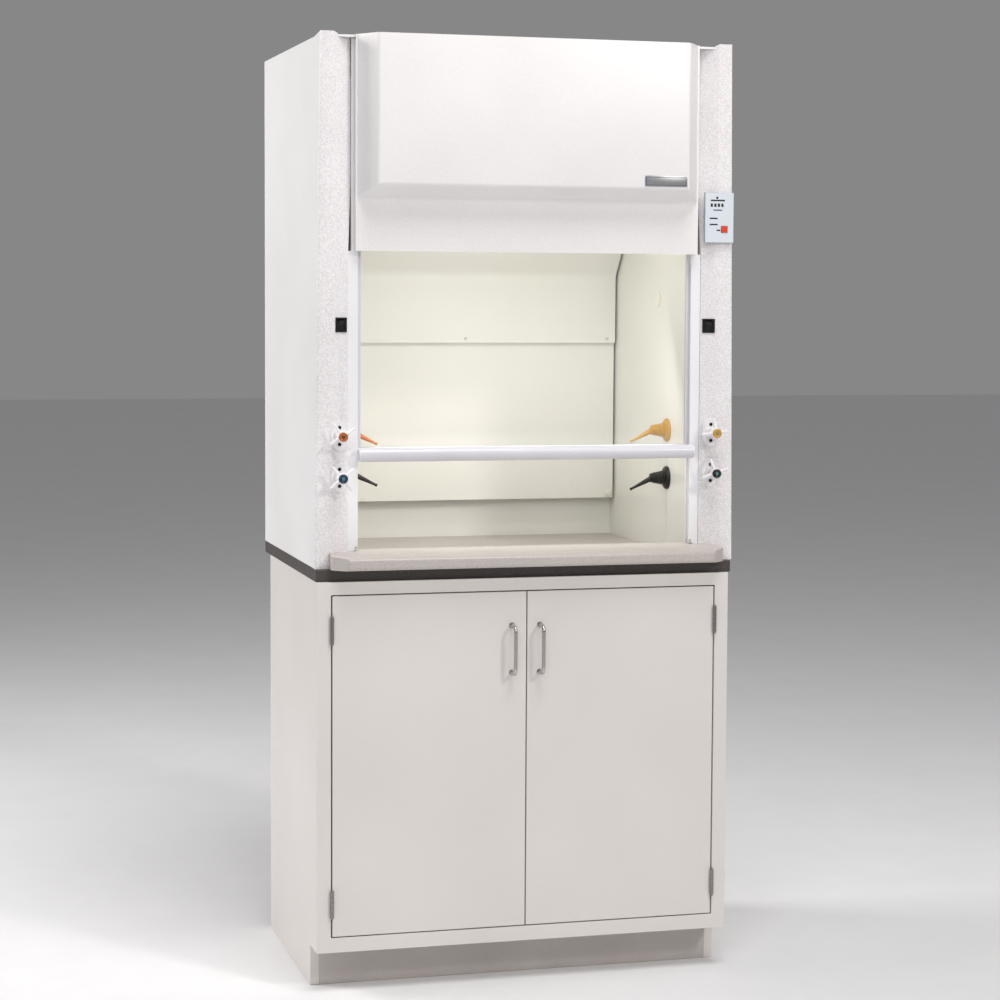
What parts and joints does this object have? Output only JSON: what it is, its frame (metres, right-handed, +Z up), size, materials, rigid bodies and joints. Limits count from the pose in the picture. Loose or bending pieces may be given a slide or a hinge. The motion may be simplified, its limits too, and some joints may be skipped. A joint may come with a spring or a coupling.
{
  "type": "fume hood",
  "caption": "Bench fume hood with a vertical sliding sash, moulded front, service valves and a dished deck, standing on a dark slab and a two-door base cabinet.",
  "frame": {"origin": "middle of the footprint at floor level", "axes": "+Z up, +Y from the front of the hood to its back, +X to the right as seen from the front"},
  "size_m": [0.914, 0.671, 2.017],
  "materials": {
    "moulded_white": "satin, lightly stippled glass-fibre moulding",
    "roof_white": "satin glass-fibre sheet",
    "liner_white": "satin glass-fibre liner sheet",
    "nameplate_metal": "fine brushed, blank",
    "galvanised": "galvanised, satin",
    "lamp_white": "white gloss paint",
    "lens_frosted": "frosted",
    "lamp_glass": "opal white tube",
    "fitting_white": "matt off-white",
    "orange_plastic": "gloss orange",
    "yellow_plastic": "gloss yellow",
    "black_plastic": "gloss black",
    "copper_brass": "bright brass and copper",
    "track_white": "satin white extrusion",
    "handle_white": "satin white powder coat",
    "cap_white": "satin white",
    "sash_pane": "clear laminated",
    "weight_steel": "dull grey primer",
    "pulley_nylon": "natural nylon",
    "steel": "bright steel",
    "cable_steel": "stranded wire rope",
    "rocker_black": "satin black",
    "alarm_grey": "satin pale grey",
    "alarm_film": "satin pale blue-grey film",
    "button_red": "gloss red",
    "escutcheon_white": "satin white",
    "valve_white": "gloss white moulding with a round coloured index button",
    "pull_chrome": "satin chrome plate",
    "screw_steel": "zinc plated",
    "deck_grey": "satin cast composite",
    "slab_dark": "matt dark composite",
    "cabinet_paint": "satin warm grey powder coat"
  },
  "bodies": {
    "frame": {"side_panel_left": "moulded_white", "side_panel_right": "moulded_white", "back_panel": "moulded_white", "roof_panel": "roof_white", "post_left": "moulded_white", "post_right": "moulded_white", "front_panel": "moulded_white", "nameplate": "nameplate_metal", "exhaust_collar": "galvanised", "liner_sides": "liner_white", "liner_back": "liner_white", "liner_ceiling": "liner_white", "baffle_upper": "liner_white", "baffle_lower": "liner_white", "chamber_fittings": "fitting_white", "lamp_housing": "lamp_white", "lamp_lens": "lens_frosted", "lamp_tube": "lamp_glass", "nozzle_orange": "orange_plastic", "nozzle_yellow": "yellow_plastic", "nozzles_black": "black_plastic", "service_lines": "copper_brass", "sash_tracks": "track_white", "pulley_hangers": "steel", "sash_cables": "cable_steel", "switch_bezels": "black_plastic", "alarm_housing": "alarm_grey", "alarm_face": "alarm_film", "valve_escutcheons": "escutcheon_white", "screws": "screw_steel", "deck": "deck_grey", "worktop": "slab_dark", "cabinet_sides": "cabinet_paint", "cabinet_back": "cabinet_paint", "cabinet_floor": "cabinet_paint", "cabinet_rails": "cabinet_paint", "cabinet_shelf": "cabinet_paint", "cabinet_fittings": "steel", "face_frame": "cabinet_paint", "hinge_fixed": "steel"},
    "sash": {"sash_handle": "handle_white", "sash_end_caps": "cap_white", "sash_glass": "sash_pane", "sash_stiles": "handle_white"},
    "counterweights": {"counterweights": "weight_steel"},
    "pulley_left": {"pulley_left": "pulley_nylon"},
    "pulley_right": {"pulley_right": "pulley_nylon"},
    "rocker_left": {"rocker_left": "rocker_black"},
    "rocker_right": {"rocker_right": "rocker_black"},
    "alarm_button": {"alarm_button": "button_red"},
    "valve_upper_left": {"valve_handle_upper_left": "valve_white"},
    "valve_lower_left": {"valve_handle_lower_left": "valve_white"},
    "valve_upper_right": {"valve_handle_upper_right": "valve_white"},
    "valve_lower_right": {"valve_handle_lower_right": "valve_white"},
    "door_left": {"door_left": "cabinet_paint", "door_pull_left": "pull_chrome", "hinge_leaves_left": "steel"},
    "door_right": {"door_right": "cabinet_paint", "door_pull_right": "pull_chrome", "hinge_leaves_right": "steel"}
  },
  "joints": [
    {"name": "sash_slide", "type": "slide", "parent": "frame", "child": "sash", "axis": [0, 0, 1], "range_m": [-0.185, 0.175]},
    {"name": "counterweight_slide", "type": "slide", "parent": "frame", "child": "counterweights", "axis": [0, 0, 1], "range_m": [-0.176, 0.186]},
    {"name": "pulley_left_spin", "type": "hinge", "parent": "frame", "child": "pulley_left", "pos_m": [-0.386, -0.232, 1.943], "axis": [-0.5062, -0.8624, 0], "range_deg": [-401, 401]},
    {"name": "pulley_right_spin", "type": "hinge", "parent": "frame", "child": "pulley_right", "pos_m": [0.386, -0.232, 1.943], "axis": [0.5062, -0.8624, 0], "range_deg": [-401, 401]},
    {"name": "valve_upper_left_turn", "type": "hinge", "parent": "frame", "child": "valve_upper_left", "pos_m": [-0.405, -0.3045, 1.16], "axis": [0, 1, 0], "range_deg": [0, 495]},
    {"name": "valve_lower_left_turn", "type": "hinge", "parent": "frame", "child": "valve_lower_left", "pos_m": [-0.405, -0.3045, 1.074], "axis": [0, 1, 0], "range_deg": [0, 495]},
    {"name": "valve_upper_right_turn", "type": "hinge", "parent": "frame", "child": "valve_upper_right", "pos_m": [0.405, -0.3045, 1.16], "axis": [0, 1, 0], "range_deg": [0, 495]},
    {"name": "valve_lower_right_turn", "type": "hinge", "parent": "frame", "child": "valve_lower_right", "pos_m": [0.405, -0.3045, 1.074], "axis": [0, 1, 0], "range_deg": [0, 495]},
    {"name": "rocker_left_tip", "type": "hinge", "parent": "frame", "child": "rocker_left", "pos_m": [-0.4012, -0.26507, 1.388], "axis": [0.9389, 0.3443, 0], "range_deg": [-24, 0]},
    {"name": "rocker_right_tip", "type": "hinge", "parent": "frame", "child": "rocker_right", "pos_m": [0.4012, -0.26507, 1.388], "axis": [0.9389, -0.3443, 0], "range_deg": [-24, 0]},
    {"name": "alarm_button_press", "type": "slide", "parent": "frame", "child": "alarm_button", "axis": [0, 1, 0], "range_m": [0, 0.0015], "stiffness_N_per_m": 300},
    {"name": "door_left_swing", "type": "hinge", "parent": "frame", "child": "door_left", "pos_m": [-0.4256, -0.3029, 0.474], "axis": [0, 0, -1], "range_deg": [0, 110]},
    {"name": "door_right_swing", "type": "hinge", "parent": "frame", "child": "door_right", "pos_m": [0.4086, -0.3029, 0.474], "axis": [0, 0, 1], "range_deg": [0, 110]}
  ],
  "couplings": [
    {"joint": "counterweight_slide", "follows": "sash_slide", "ratio": -1},
    {"joint": "pulley_left_spin", "follows": "sash_slide", "rad_per_m": 37.496},
    {"joint": "pulley_right_spin", "follows": "sash_slide", "rad_per_m": -37.496}
  ]
}
